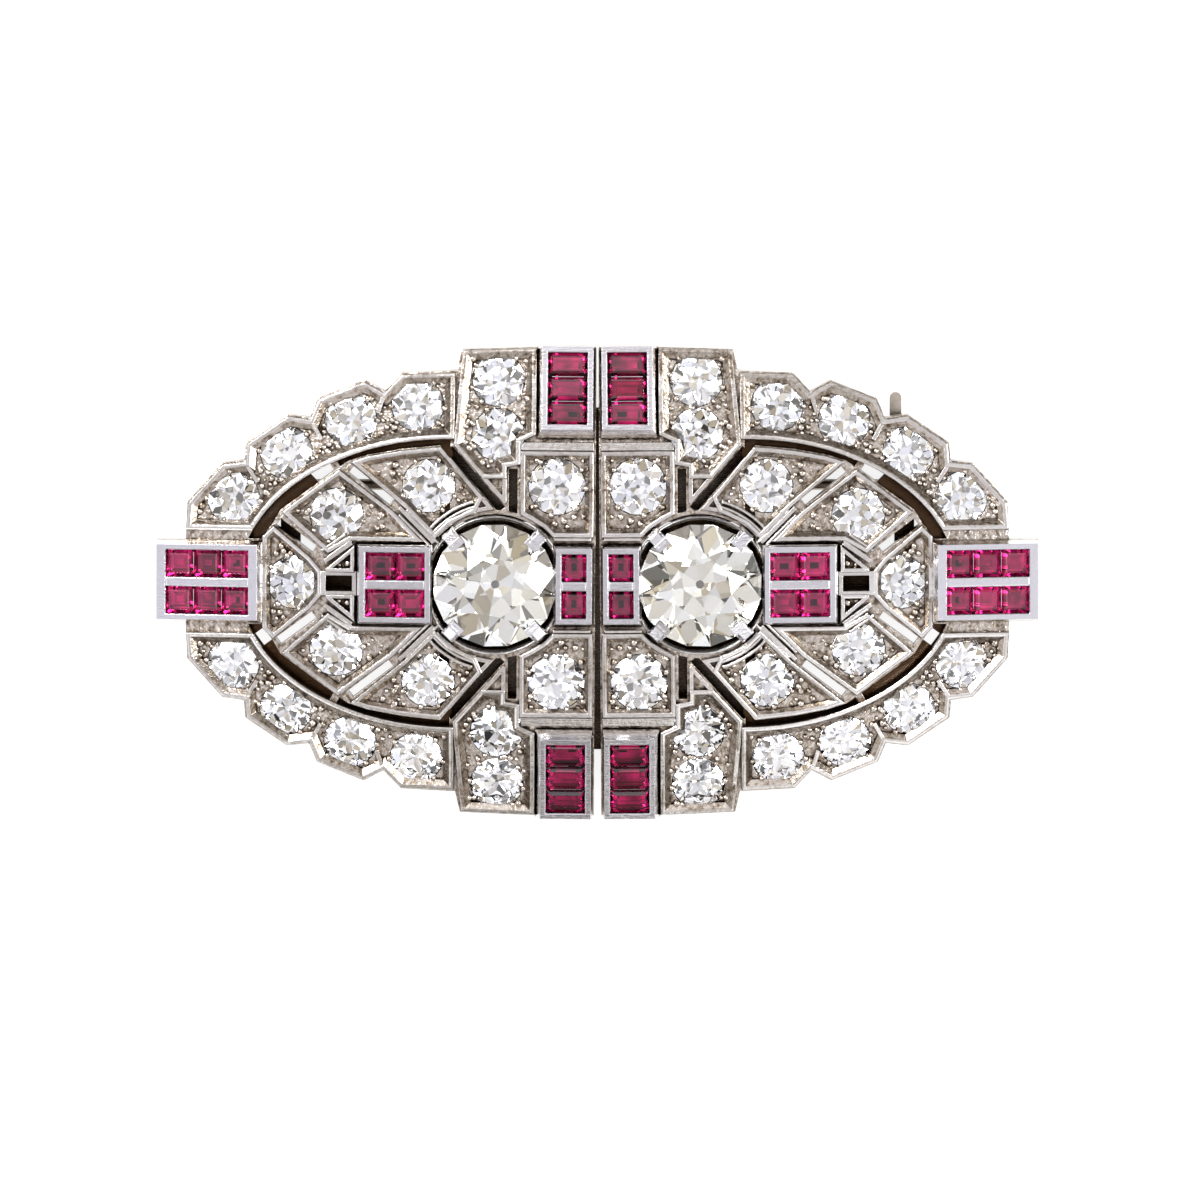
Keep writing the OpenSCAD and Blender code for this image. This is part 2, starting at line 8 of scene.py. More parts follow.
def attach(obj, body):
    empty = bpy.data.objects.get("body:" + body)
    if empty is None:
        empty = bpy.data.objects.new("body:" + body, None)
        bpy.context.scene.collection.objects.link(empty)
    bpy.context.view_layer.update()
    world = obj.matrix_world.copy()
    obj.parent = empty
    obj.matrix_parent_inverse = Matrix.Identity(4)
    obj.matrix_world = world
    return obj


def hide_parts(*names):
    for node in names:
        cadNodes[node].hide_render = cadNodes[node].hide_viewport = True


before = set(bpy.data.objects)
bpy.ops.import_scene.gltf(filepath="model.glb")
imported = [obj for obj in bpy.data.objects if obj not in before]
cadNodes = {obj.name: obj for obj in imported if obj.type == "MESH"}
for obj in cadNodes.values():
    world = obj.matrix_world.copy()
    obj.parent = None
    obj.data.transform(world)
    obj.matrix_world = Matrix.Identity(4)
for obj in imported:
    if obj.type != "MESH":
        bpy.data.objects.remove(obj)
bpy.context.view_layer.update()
mm = 0.001
print("frame loaded,", len(cadNodes), "nodes")

# both clips are the same, so everything is laid out on the right one,
# x from the centre line, in mm
clip = {
    "length": 30.0,
    "halfHeight": 16.1,
    "splay": 0.36,          # degrees, each clip on the joining frame
    "faceHeight": 6.148,    # crown of the domed face over the table
    "longRadius": 220.0,
    "highRadius": 58.0,
    "mainX": 6.95,
    "mainWidth": 8.4,
}


def faceHeight(x, y):  # the domed face of the plate
    ring = clip["longRadius"] - clip["highRadius"] + sqrt(clip["highRadius"] ** 2 - y * y)
    return sqrt(ring * ring - x * x) - clip["longRadius"] + clip["faceHeight"]


def placed(shares):
    return [(x * clip["length"], y * clip["halfHeight"]) for x, y in shares]


def lower(points):
    return [(x, -y) for x, y in reversed(points)]


# outlines of the cells, shares of the clip's length and half height
cells = {
    "column": [(0.141, 0.992), (0.307, 0.981), (0.327, 0.585), (0.262, 0.448), (0.207, 0.448),
               (0.207, 0.497), (0.176, 0.509), (0.176, 0.602), (0.141, 0.632)],
    "square": [(0.01, 0.564), (0.175, 0.564), (0.175, 0.299), (0.149, 0.274), (0.122, 0.242),
               (0.102, 0.204), (0.01, 0.204)],
    "fanInner": [(0.355, 0.579), (0.446, 0.562), (0.519, 0.537), (0.56, 0.512), (0.438, 0.324),
                 (0.368, 0.194), (0.334, 0.255), (0.275, 0.308), (0.259, 0.372)],
    "fanOuter": [(0.586, 0.48), (0.715, 0.299), (0.61, 0.126), (0.559, 0.181), (0.395, 0.181),
                 (0.463, 0.309)],
    "fanMiddle": [(0.55, 0.164), (0.615, 0.063), (0.615, 0.046), (0.55, 0.046)],
}
endCell = [(0.759, 0.194), (0.734, 0.24), (0.65, 0.109), (0.624, 0.051)]
border = [(0.325, 0.886), (0.445, 0.878), (0.484, 0.8), (0.53, 0.846), (0.634, 0.768),
          (0.652, 0.686), (0.703, 0.699), (0.795, 0.581), (0.798, 0.505), (0.85, 0.493),
          (0.928, 0.331), (0.933, 0.219)]
gap = {  # outer edge of the curved gap, shares of the length and half height
    "middle": 0.334,
    "halfAxes": (0.479, 0.611),
    "step": 4.2,          # degrees between its corners
    "steps": (4, 22),
    "from": (0.33, 0.19),  # not nearer to the column and the side panel than this
}

# small stones of the upper half: shares of the length and half height, and mm across
upperStones = [(0.825, 0.349, 3.56), (0.706, 0.545, 3.56), (0.56, 0.682, 3.56),
               (0.409, 0.749, 3.56), (0.383, 0.413, 3.62), (0.591, 0.286, 3.62),
               (0.093, 0.415, 3.86), (0.2264, 0.856, 3.58), (0.2264, 0.63, 3.58)]
middleStone = (0.686, 3.62)
stones = [(x * clip["length"], s * y * clip["halfHeight"], d)
          for x, y, d in upperStones for s in (1, -1)]
stones.append((middleStone[0] * clip["length"], 0, middleStone[1]))


def curveStart():  # the border's inner edge, from its outer end back to the column
    points = []
    for step in range(*gap["steps"]):
        a = radians(step * gap["step"])
        x = gap["middle"] + gap["halfAxes"][0] * cos(a)
        y = gap["halfAxes"][1] * sin(a)
        if x > gap["from"][0] and y > gap["from"][1]:
            points.append((x, y))
    return points


cells["border"] = border + [(0.808, 0.219)] + curveStart() + [(0.325, 0.612)]


# mesh tools

def deselectAll():
    if bpy.context.object and bpy.context.object.mode != "OBJECT":
        bpy.ops.object.mode_set(mode="OBJECT")
    bpy.ops.object.select_all(action="DESELECT")


def makeActive(pieces):
    deselectAll()
    for piece in pieces:
        piece.select_set(True)
    bpy.context.view_layer.objects.active = pieces[0]


def edit(piece, mode="FACE"):
    makeActive([piece])
    bpy.ops.object.mode_set(mode="EDIT")
    bpy.ops.mesh.select_mode(type=mode)
    bpy.ops.mesh.select_all(action="SELECT")


def closeUp():  # still in edit mode: normals outwards, then back
    bpy.ops.mesh.select_all(action="SELECT")
    bpy.ops.mesh.normals_make_consistent(inside=False)
    bpy.ops.object.mode_set(mode="OBJECT")


def flatShape(name, points, height):  # a circle whose corners are moved to the outline
    deselectAll()
    area = sum(a[0] * b[1] - b[0] * a[1] for a, b in zip(points, points[1:] + points[:1]))
    if area < 0:
        points = points[::-1]
    bpy.ops.mesh.primitive_circle_add(vertices=len(points), radius=mm, fill_type="NGON")
    shape = bpy.context.object
    shape.name = name
    turned = shape.data.polygons[0].normal.z < 0
    corners = list(shape.data.polygons[0].vertices)
    for index, (x, y) in zip(corners, points[::-1] if turned else points):
        shape.data.vertices[index].co = (x * mm, y * mm, height * mm)
    if turned:
        edit(shape)
        bpy.ops.mesh.flip_normals()
        bpy.ops.object.mode_set(mode="OBJECT")
    return shape


def bendToFace(piece):  # heights over a flat plate become heights over the domed face
    for vertex in piece.data.vertices:
        vertex.co.z += faceHeight(vertex.co.x / mm, vertex.co.y / mm) * mm


def onFace(x, y):  # flat on the dome, as the solid's panels lie
    ring = clip["longRadius"] - clip["highRadius"] + sqrt(clip["highRadius"] ** 2 - y * y)
    return (Matrix.Translation((x * mm, y * mm, faceHeight(x, y) * mm))
            @ Matrix.Rotation(asin(x / ring), 4, "Y")
            @ Matrix.Rotation(-asin(y / clip["highRadius"]), 4, "X"))


def joined(pieces, name):
    makeActive(pieces)
    if len(pieces) > 1:
        bpy.ops.object.join()
    pieces[0].name = name
    pieces[0].data.name = name
    return pieces[0]


def copyOf(piece, matrix):
    twin = piece.copy()
    twin.data = piece.data.copy()
    twin.data.transform(matrix)
    bpy.context.collection.objects.link(twin)
    return twin


def onBothClips(piece, name):
    half = clip["length"] / 2 * mm
    turn = (Matrix.Translation((half, 0, 0)) @ Matrix.Rotation(radians(clip["splay"]), 4, "Z")
            @ Matrix.Translation((-half, 0, 0)))
    piece.data.transform(turn)
    other = copyOf(piece, Matrix.Scale(-1, 4, (1, 0, 0)))
    makeActive([other])
    bpy.ops.object.mode_set(mode="EDIT")
    bpy.ops.mesh.select_all(action="SELECT")
    bpy.ops.mesh.flip_normals()
    bpy.ops.object.mode_set(mode="OBJECT")
    for side, half in (("left", other), ("right", piece)):
        half.name = half.data.name = side + name
        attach(half, "root")
    return [other, piece]


def inside(x, y, points):
    odd = False
    for (ax, ay), (bx, by) in zip(points, points[1:] + points[:1]):
        if (ay > y) != (by > y) and x < (bx - ax) * (y - ay) / (by - ay) + ax:
            odd = not odd
    return odd


def edgeDistance(x, y, points):
    best = 1e9
    for (ax, ay), (bx, by) in zip(points, points[1:] + points[:1]):
        dx, dy = bx - ax, by - ay
        t = max(0.0, min(1.0, ((x - ax) * dx + (y - ay) * dy) / (dx * dx + dy * dy)))
        best = min(best, hypot(x - ax - t * dx, y - ay - t * dy))
    return best


# materials

def linear(code):  # sRGB hex to linear
    parts = [int(code[i:i + 2], 16) / 255 for i in (1, 3, 5)]
    light = [c / 12.92 if c <= 0.04045 else ((c + 0.055) / 1.055) ** 2.4 for c in parts]
    return (*light, 1.0)


def addNode(tree, kind, settings=None, links=None):  # "stops" are the marks of a colour ramp
    node = tree.nodes.new(kind)
    for key, value in (settings or {}).items():
        if isinstance(value, str) and value.startswith("#"):
            value = linear(value)
        if key == "stops":
            marks = node.color_ramp.elements
            while len(marks) < len(value):
                marks.new(0.5)
            for mark, (position, colour) in zip(marks, value):
                mark.position = position
                mark.color = linear(colour)
        elif isinstance(key, int) or key in node.inputs:
            node.inputs[key].default_value = value
        else:
            setattr(node, key, value)
    for key, socket in (links or {}).items():
        tree.links.new(socket, node.inputs[key])
    return node


def newMaterial(name):
    material = bpy.data.materials.new(name)
    material.use_nodes = True
    tree = material.node_tree
    tree.nodes.clear()
    shader = addNode(tree, "ShaderNodeBsdfPrincipled")
    addNode(tree, "ShaderNodeOutputMaterial", links={"Surface": shader.outputs["BSDF"]})
    return material, tree, shader


def heightOverFace(tree, point):  # in mm, near enough for patina
    split = addNode(tree, "ShaderNodeSeparateXYZ", links={0: point}).outputs
    height = addNode(tree, "ShaderNodeMath",
                     {"operation": "MULTIPLY_ADD", 1: 1 / mm, 2: -clip["faceHeight"]},
                     {0: split[2]})
    for axis, radius in ((0, clip["longRadius"]), (1, clip["highRadius"])):
        square = addNode(tree, "ShaderNodeMath", {"operation": "MULTIPLY"},
                         {0: split[axis], 1: split[axis]})
        height = addNode(tree, "ShaderNodeMath",
                         {"operation": "MULTIPLY_ADD", 1: 0.5 / mm / mm / radius},
                         {0: square.outputs[0], 2: height.outputs[0]})
    return height.outputs[0]


platinum = {
    # tints
    "recess": "#4A3828",        # dull brown, mostly painted shade in the slots, partly a film
    "floor": "#D2CAC1",         # engraved floors of the cells, a little tan
    "slope": "#B8AFA5",         # bright-cut slopes of the walls, duller than their tops
    "cup": "#55432F",           # dark brown painted shade under the main stone, seen past it
    "edge": "#ECE9E6",          # hand-polished walls
    "panel": "#E6E5EA",         # the high rims of the panels, with a faint lilac painted reflection
    "grimeAndShadeRamp": [(0.0, "#120C08"), (0.42, "#7A6C61"), (0.7, "#FFFFFF")],  # dirt and painted shade, thick to none
    "specks": [(0.36, "#8C8072"), (0.46, "#E0DAD2"), (0.54, "#FFFFFF")],
    # heights, mm over the face
    "wallTop": 0.47,            # fully polished from here up
    "panelTop": (0.55, 0.9),    # where the painted lilac reflection begins and is full
    "slotDepth": (-0.5, -0.14),  # where the brown painted shade of the slots is full and ends
    "sideDepth": (-0.12, -0.3),  # lower than this the outer sides are smooth again
    # finish
    "floorRoughness": 0.22,
    "edgeRoughness": 0.13,
    "unevenRoughness": 0.16,
    "open": (0.55, 0.9),        # share of open sky, where the slots' painted shade is full and where it ends
    "grimeAndShade": (1.15, -0.12),      # factor on the share of open sky, and what is added
    "stains": (1.3, -0.6),      # factor on the clouds, and what is added
    "pit": 0.3,                 # mm, unevenness of the engraved floors
    "rubbedPits": 0.5,          # strength of the pits that polishing leaves
    "scratchLength": 1.2,       # mm
    "scratchWidth": 0.09,       # mm, real ones are finer and would not show
    "relief": 0.03,             # mm, depth of scratches and pits
    "edgeRound": 0.06,          # mm, worn corners
    "creviceGrimeShade": 0.42,            # mm, reach of the dirt and painted shade round stones and walls
    "stain": 1.5,               # waves a mm, uneven edge of that dirt and shade
    "speck": 0.5,               # mm, brown specks that stay in the engraving
    "slotShade": 2.0,              # mm, slots and gaps narrower than this get the brown painted shade
}


def castPlatinum(name, low, polishFrom, pitting):
    # platinum, cast and hand finished: bright polished tops, tan film on the floors,
    # dirt and painted shade in the crevices, painted shade in the slots, painted lilac reflection
    # on the rims
    material, tree, shader = newMaterial(name)
    point = addNode(tree, "ShaderNodeTexCoord").outputs["Object"]
    height = heightOverFace(tree, point)
    zones = []
    for start, end, ease in ((polishFrom, platinum["wallTop"], "SMOOTHSTEP"),
                             (*platinum["slotDepth"], "SMOOTHSTEP"),
                             (*platinum["panelTop"], "LINEAR"),
                             (*platinum["sideDepth"], "LINEAR")):
        zone = addNode(tree, "ShaderNodeMapRange",
                       {"From Min": start, "From Max": end, "interpolation_type": ease},
                       {"Value": height})
        zones.append(zone.outputs[0])
    top, deep, rimReflectionShare, side = zones

    # the metal's own colour, with a painted lilac reflection on the panel rims and brown painted
    # shade deep in the slots
    # painted shade: deep, enclosed slots get the dull brown tint
    slotShade = addNode(tree, "ShaderNodeAmbientOcclusion",
                     {"samples": 4, "Distance": platinum["slotShade"] * mm})
    outsideSlotShade = addNode(tree, "ShaderNodeMapRange",
                      {"From Min": platinum["open"][0], "From Max": platinum["open"][1]},
                      {"Value": slotShade.outputs["AO"]})
    unshadedShare = addNode(tree, "ShaderNodeMath", {"operation": "MAXIMUM"},
                    {0: deep, 1: outsideSlotShade.outputs[0]})
    # painted reflection: the panel rims take a lilac tint
    polishedAndReflected = addNode(tree, "ShaderNodeMix",
                       {"data_type": "RGBA", 6: platinum["edge"], 7: platinum["panel"]}, {0: rimReflectionShare})
    metal = addNode(tree, "ShaderNodeMix", {"data_type": "RGBA", 6: low},
                    {0: top, 7: polishedAndReflected.outputs[2]})
    metal = addNode(tree, "ShaderNodeMix", {"data_type": "RGBA", 6: platinum["recess"]},
                    {0: unshadedShare.outputs[0], 7: metal.outputs[2]})

    # dirt and painted shade in the crevices
    creviceGrimeShade = addNode(tree, "ShaderNodeAmbientOcclusion",
                      {"samples": 6, "Distance": platinum["creviceGrimeShade"] * mm})
    cloud = addNode(tree, "ShaderNodeTexNoise",
                    {"Scale": platinum["stain"] / mm, "Detail": 4.0, "Roughness": 0.6},
                    {"Vector": point})
    grimeAndShade = []
    for source, (gain, offset) in ((creviceGrimeShade.outputs["AO"], platinum["grimeAndShade"]),
                                   (cloud.outputs[0], platinum["stains"])):
        part = addNode(tree, "ShaderNodeMath", {"operation": "MULTIPLY_ADD", 1: gain, 2: offset},
                       {0: source})
        grimeAndShade.append(part.outputs[0])
    grimeShadeMask = addNode(tree, "ShaderNodeMath", {"operation": "ADD", "use_clamp": True},
                    {0: grimeAndShade[0], 1: grimeAndShade[1]})
    grimeAndShadeRamp = addNode(tree, "ShaderNodeValToRGB", {"stops": platinum["grimeAndShadeRamp"]},
                   {"Fac": grimeShadeMask.outputs[0]})

    # brown specks on the engraved floors alone
    spots = addNode(tree, "ShaderNodeTexNoise",
                    {"Scale": 1 / platinum["speck"] / mm, "Detail": 5.0, "Roughness": 0.7},
                    {"Vector": point})
    brown = addNode(tree, "ShaderNodeValToRGB", {"stops": platinum["specks"]},
                    {"Fac": spots.outputs[0]})
    rubbed = addNode(tree, "ShaderNodeMath", {"operation": "MAXIMUM"}, {0: top, 1: side})
    speckle = addNode(tree, "ShaderNodeMix", {"data_type": "RGBA", 7: "#FFFFFF"},
                      {0: rubbed.outputs[0], 6: brown.outputs[0]})
    colour = metal.outputs[2]
    for layer in (grimeAndShadeRamp.outputs[0], speckle.outputs[2]):
        colour = addNode(tree, "ShaderNodeMix",
                         {"data_type": "RGBA", "blend_type": "MULTIPLY", 0: 1.0},
                         {6: colour, 7: layer}).outputs[2]

    # fine scratches all over, pits on the floors
    along, across = 1 / platinum["scratchLength"] / mm, 1 / platinum["scratchWidth"] / mm
    stretch = addNode(tree, "ShaderNodeMapping", {"Scale": (along, across, across)},
                      {"Vector": point})
    scratch = addNode(tree, "ShaderNodeTexNoise", {"Scale": 1.0, "Detail": 3.0},
                      {"Vector": stretch.outputs[0]})
    smooth = addNode(tree, "ShaderNodeMapRange",
                     {"To Min": platinum["floorRoughness"], "To Max": platinum["edgeRoughness"]},
                     {"Value": top})
    uneven = platinum["unevenRoughness"]
    roughness = addNode(tree, "ShaderNodeMath",
                        {"operation": "MULTIPLY_ADD", 1: uneven, 2: -uneven / 2},
                        {0: scratch.outputs[0]})
    roughness = addNode(tree, "ShaderNodeMath", {"operation": "ADD"},
                        {0: smooth.outputs[0], 1: roughness.outputs[0]})
    bevel = addNode(tree, "ShaderNodeBevel", {"samples": 4, "Radius": platinum["edgeRound"] * mm})
    pits = addNode(tree, "ShaderNodeTexNoise", {"Scale": 1 / platinum["pit"] / mm, "Detail": 2.0},
                   {"Vector": point})
    pitted = addNode(tree, "ShaderNodeMapRange",
                     {"To Min": pitting, "To Max": platinum["rubbedPits"]},
                     {"Value": rubbed.outputs[0]})
    relief = addNode(tree, "ShaderNodeMath", {"operation": "MULTIPLY_ADD"},
                     {0: pits.outputs[0], 1: pitted.outputs[0], 2: scratch.outputs[0]})
    bump = addNode(tree, "ShaderNodeBump", {"Strength": 0.5, "Distance": platinum["relief"] * mm},
                   {"Height": relief.outputs[0], "Normal": bevel.outputs[0]})
    shader.inputs["Metallic"].default_value = 1.0
    tree.links.new(colour, shader.inputs["Base Color"])
    tree.links.new(roughness.outputs[0], shader.inputs["Roughness"])
    tree.links.new(bump.outputs[0], shader.inputs["Normal"])
    return material


whiteGold = {
    "tones": [(0.35, "#B9AD9C"), (0.6, "#DDD5C8")],
    "grimeAndShadeRamp": [(0.2, "#20160F"), (0.4, "#4E3D2F"), (0.62, "#FFFFFF")],  # dirt and painted shade, thick to none
    "patch": 2.2,                # mm
    "roughness": (0.2, 0.34),
    "lines": (0.5, 24.0, 24.0),  # drawing lines a mm, along the brooch and across it
    "relief": 0.01,              # mm, depth of those lines
    "shade": 4.0,                # mm, reach of the painted shade, with some dirt, behind the clips
}


def drawnWhiteGold():
    # white gold, drawn and filed: a little warmer than the platinum,
    # with drawing lines along the brooch, and dark painted shade, with some dirt, where the clips
    # cover it
    material, tree, shader = newMaterial("drawnWhiteGold")
    point = addNode(tree, "ShaderNodeTexCoord").outputs["Object"]
    cloud = addNode(tree, "ShaderNodeTexNoise",
                    {"Scale": 1 / whiteGold["patch"] / mm, "Detail": 4.0}, {"Vector": point})
    tone = addNode(tree, "ShaderNodeValToRGB", {"stops": whiteGold["tones"]},
                   {"Fac": cloud.outputs[0]})
    # painted shade: the frame darkens where the clips cover it
    creviceGrimeShade = addNode(tree, "ShaderNodeAmbientOcclusion",
                      {"samples": 6, "Distance": whiteGold["shade"] * mm})
    grimeAndShadeRamp = addNode(tree, "ShaderNodeValToRGB", {"stops": whiteGold["grimeAndShadeRamp"]},
                   {"Fac": creviceGrimeShade.outputs["AO"]})
    colour = addNode(tree, "ShaderNodeMix", {"data_type": "RGBA", "blend_type": "MULTIPLY", 0: 1.0},
                     {6: tone.outputs[0], 7: grimeAndShadeRamp.outputs[0]})
    lines = [count / mm for count in whiteGold["lines"]]
    stretch = addNode(tree, "ShaderNodeMapping", {"Scale": lines}, {"Vector": point})
    line = addNode(tree, "ShaderNodeTexNoise", {"Scale": 1.0, "Detail": 2.0},
                   {"Vector": stretch.outputs[0]})
    smooth, dull = whiteGold["roughness"]
    roughness = addNode(tree, "ShaderNodeMapRange", {"To Min": smooth, "To Max": dull},
                        {"Value": line.outputs[0]})
    bump = addNode(tree, "ShaderNodeBump", {"Strength": 0.15, "Distance": whiteGold["relief"] * mm},
                   {"Height": line.outputs[0]})
    shader.inputs["Metallic"].default_value = 1.0
    tree.links.new(colour.outputs[2], shader.inputs["Base Color"])
    tree.links.new(roughness.outputs[0], shader.inputs["Roughness"])
    tree.links.new(bump.outputs[0], shader.inputs["Normal"])
    return material


# wave: mm, size of the veils or of the deeper red; gloss: specular level
diamond = {
    "tints": [(0.4, "#FFFFFF"), (0.65, "#F6F8FA")],
    "wave": 1.5,
    "detail": 3.0,
    "roughness": 0.0,
    "refraction": 2.42,
    "gloss": 0.5,
}
mainDiamond = {**diamond, "tints": [(0.4, "#FFFFF8"), (0.65, "#F6F5E8")], "wave": 2.5}
ruby = {
    "tints": [(0.35, "#5E072A"), (0.65, "#CE1E66")],
    "wave": 1.6,
    "detail": 2.0,
    "roughness": 0.02,
    "refraction": 1.76,
    "gloss": 0.4,
}


def cutStone(name, stone):
    # diamond or ruby: flat facets with mirror edges; faint veils in the diamonds,
    # pinkish red in the rubies, deeper in some than in others
    material, tree, shader = newMaterial(name)
    point = addNode(tree, "ShaderNodeTexCoord").outputs["Object"]
    cloud = addNode(tree, "ShaderNodeTexNoise",
                    {"Scale": 1 / stone["wave"] / mm, "Detail": stone["detail"]}, {"Vector": point})
    tint = addNode(tree, "ShaderNodeValToRGB", {"stops": stone["tints"]}, {"Fac": cloud.outputs[0]})
    tree.links.new(tint.outputs[0], shader.inputs["Base Color"])
    for socket, value in (("Roughness", stone["roughness"]), ("IOR", stone["refraction"]),
                          ("Transmission Weight", 1.0), ("Specular IOR Level", stone["gloss"])):
        shader.inputs[socket].default_value = value
    return material


# tint of the low parts, mm over the face where polish begins, depth of the pits
platinumFinish = castPlatinum("polishedPlatinum", platinum["floor"], 0.2, 4.5)
wallFinish = castPlatinum("brightCutPlatinum", platinum["slope"], 0.38, 1.8)
# the cup's low tint is dark brown painted shade
cupFinish = castPlatinum("cupShadePlatinum", platinum["cup"], 0.46, 1.0)
goldFinish = drawnWhiteGold()
diamondFinish = cutStone("oldCutDiamond", diamond)
mainFinish = cutStone("mainDiamond", mainDiamond)
rubyFinish = cutStone("cutRuby", ruby)


def giveFinish(piece, finish):
    piece.data.materials.clear()
    piece.data.materials.append(finish)


for nodeName, node in cadNodes.items():
    if nodeName.startswith("setting"):
        finish = platinumFinish
    elif nodeName.endswith("rubies"):
        finish = rubyFinish
    elif nodeName.endswith("main_diamond"):
        finish = mainFinish
    elif "diamond" in nodeName:
        finish = diamondFinish
    else:
        finish = goldFinish
    for index in range(len(node.material_slots)):
        node.material_slots[index].material = finish
    if not node.material_slots:
        node.data.materials.append(finish)
print("finishes on the CAD nodes")


# cell walls with their bright-cut slopes

wall = {
    "top": 0.47,         # over the plate, just proud of the solid's own wall
    "chamfer": 0.06,     # outer edge, rounded off by polishing
    "bright": 0.11,      # flat top
    "lean": (0.1, 0.015),  # then a little down towards the stones
    "foot": 0.15,        # where the slope meets the floor
    "sunk": 0.35,
    "slope": {"column": 0.42, "square": 0.3, "fanInner": 0.3, "fanOuter": 0.34, "fanMiddle": 0.12,
              "border": 0.42, "end": 0.28},
}


def cellWall(name, points, slope):
    shape = flatShape(name, points, wall["top"] - wall["chamfer"])
    edit(shape)
    bpy.ops.mesh.inset(thickness=wall["chamfer"] * mm, depth=wall["chamfer"] * mm)
    bpy.ops.mesh.inset(thickness=wall["bright"] * mm, depth=0)
    bpy.ops.mesh.inset(thickness=wall["lean"][0] * mm, depth=-wall["lean"][1] * mm)
    drop = wall["top"] - wall["lean"][1] - wall["foot"]
    bpy.ops.mesh.inset(thickness=slope * mm, depth=-drop * mm)
    bpy.ops.mesh.delete(type="FACE")
    bpy.ops.mesh.select_all(action="SELECT")
    bpy.ops.mesh.extrude_region_move(TRANSFORM_OT_translate={"value": (0, 0, -wall["sunk"] * mm)})
    closeUp()
    return shape


def makeWalls():
    walls = []
    for name, shares in cells.items():
        points = placed(shares)
        for half in (points, lower(points)):
            walls.append(cellWall(name, half, wall["slope"][name]))
    ends = placed(endCell)
    walls.append(cellWall("end", ends + lower(ends), wall["slope"]["end"]))
    for shape in walls:
        bendToFace(shape)
    return onBothClips(joined(walls, "CellWalls"), "CellWalls")


for piece in makeWalls():
    giveFinish(piece, wallFinish)
print("cell walls made")


# grains

grain = {
    "sides": (8, 6),       # of each bead, round and up
    "smooth": 50,          # degrees
    "radius": 0.22,
    "spacing": 0.52,
    "rows": 0.87,          # of the spacing, rows set half a step aside
    "jitter": 0.12,
    "sizes": (0.6, 1.3),   # of the radius
    "left": 0.25,          # share of places with no grain
    "low": 0.02,           # mm over the face
    "holding": 8,          # grains pushed over each stone's edge
    "holdingRadius": 0.2,
    "holdingSizes": (0.9, 1.15),
    "holdingTurn": 9,      # degrees off their even places
    "holdingOut": 0.06,    # from the stone's edge to the bead's middle
    "holdingRim": 0.3,     # from the cell's outline
    "holdingLow": 0.08,
    "rim": 0.6,            # from the cell's outline to the first grain
    "near": 0.2,           # from a stone's edge to the first grain
    "far": 1.6,            # and to the last
    "cut": 0.3,            # of the radius, the bead ends this far under its middle
    "seed": 11,
    # x, y and radius in mm, by the fan's middle slot
    "middle": [(16.95, 1.98, 0.24), (16.95, 1.34, 0.27), (17.55, 1.22, 0.2)],
    "middleLow": 0.05,
}


def grainPlaces():
    draw = Random(grain["seed"])
    jitter = grain["jitter"]
    outlines = []
    for shares in cells.values():
        outlines += [placed(shares), lower(placed(shares))]
    ends = placed(endCell)
    outlines.append(ends + lower(ends))
    places = [(x, s * y, grain["middleLow"], r) for x, y, r in grain["middle"] for s in (1, -1)]
    rows = int(2 * clip["halfHeight"] / grain["spacing"] / grain["rows"])
    for points in outlines:
        for row in range(rows):
            y = (row - rows / 2) * grain["spacing"] * grain["rows"]
            for column in range(int(clip["length"] / grain["spacing"])):
                x = (column + 0.5 * (row % 2)) * grain["spacing"]
                gx, gy = x + draw.uniform(-jitter, jitter), y + draw.uniform(-jitter, jitter)
                if not inside(gx, gy, points) or edgeDistance(gx, gy, points) < grain["rim"]:
                    continue
                if draw.random() < grain["left"]:
                    continue
                nearest = min(hypot(gx - sx, gy - sy) - d / 2 for sx, sy, d in stones)
                if not grain["near"] < nearest < grain["far"]:
                    continue
                radius = grain["radius"] * draw.uniform(*grain["sizes"])
                places.append((gx, gy, grain["low"], radius))
        for sx, sy, d in stones:
            if inside(sx, sy, points):
                places += holdingPlaces(sx, sy, d, points, draw)
    return places


def holdingPlaces(sx, sy, d, points, draw):  # the grains round one stone
    places = []
    turn = draw.uniform(0, 360 / grain["holding"])
    out = d / 2 + grain["holdingOut"]
    for step in range(grain["holding"]):
        a = radians(turn + 360 / grain["holding"] * step
                    + draw.uniform(-grain["holdingTurn"], grain["holdingTurn"]))
        gx, gy = sx + out * cos(a), sy + out * sin(a)
        if inside(gx, gy, points) and edgeDistance(gx, gy, points) > grain["holdingRim"]:
            radius = grain["holdingRadius"] * draw.uniform(*grain["holdingSizes"])
            places.append((gx, gy, grain["holdingLow"], radius))
    return places


def makeGrains():
    deselectAll()
    bpy.ops.mesh.primitive_uv_sphere_add(segments=grain["sides"][0], ring_count=grain["sides"][1],
                                         radius=mm)
    bead = bpy.context.object
    edit(bead)
    bpy.ops.mesh.bisect(plane_co=(0, 0, -grain["cut"] * mm), plane_no=(0, 0, 1), clear_inner=True,
                        use_fill=True)
    closeUp()
    bpy.ops.object.shade_smooth_by_angle(angle=radians(grain["smooth"]))
    beads = []
    for x, y, z, r in grainPlaces():
        place = Matrix.Translation((x * mm, y * mm, (z + faceHeight(x, y)) * mm))
        beads.append(copyOf(bead, place @ Matrix.Scale(r, 4)))
    bpy.data.objects.remove(bead)
    print(len(beads), "grains a clip")
    return onBothClips(joined(beads, "Grains"), "Grains")


for piece in makeGrains():
    giveFinish(piece, platinumFinish)


# cup under the main stone

girdleHeight = 0.55  # mm, girdles of the main stones and of the rubies over the face
cup = {  # mm from the stone's axis, and from its girdle
    "top": (4.74, -0.12),
    "foot": (3.05, -1.95),
    "thick": 0.14,
    "sides": 64,
    "smooth": 30,        # degrees
}


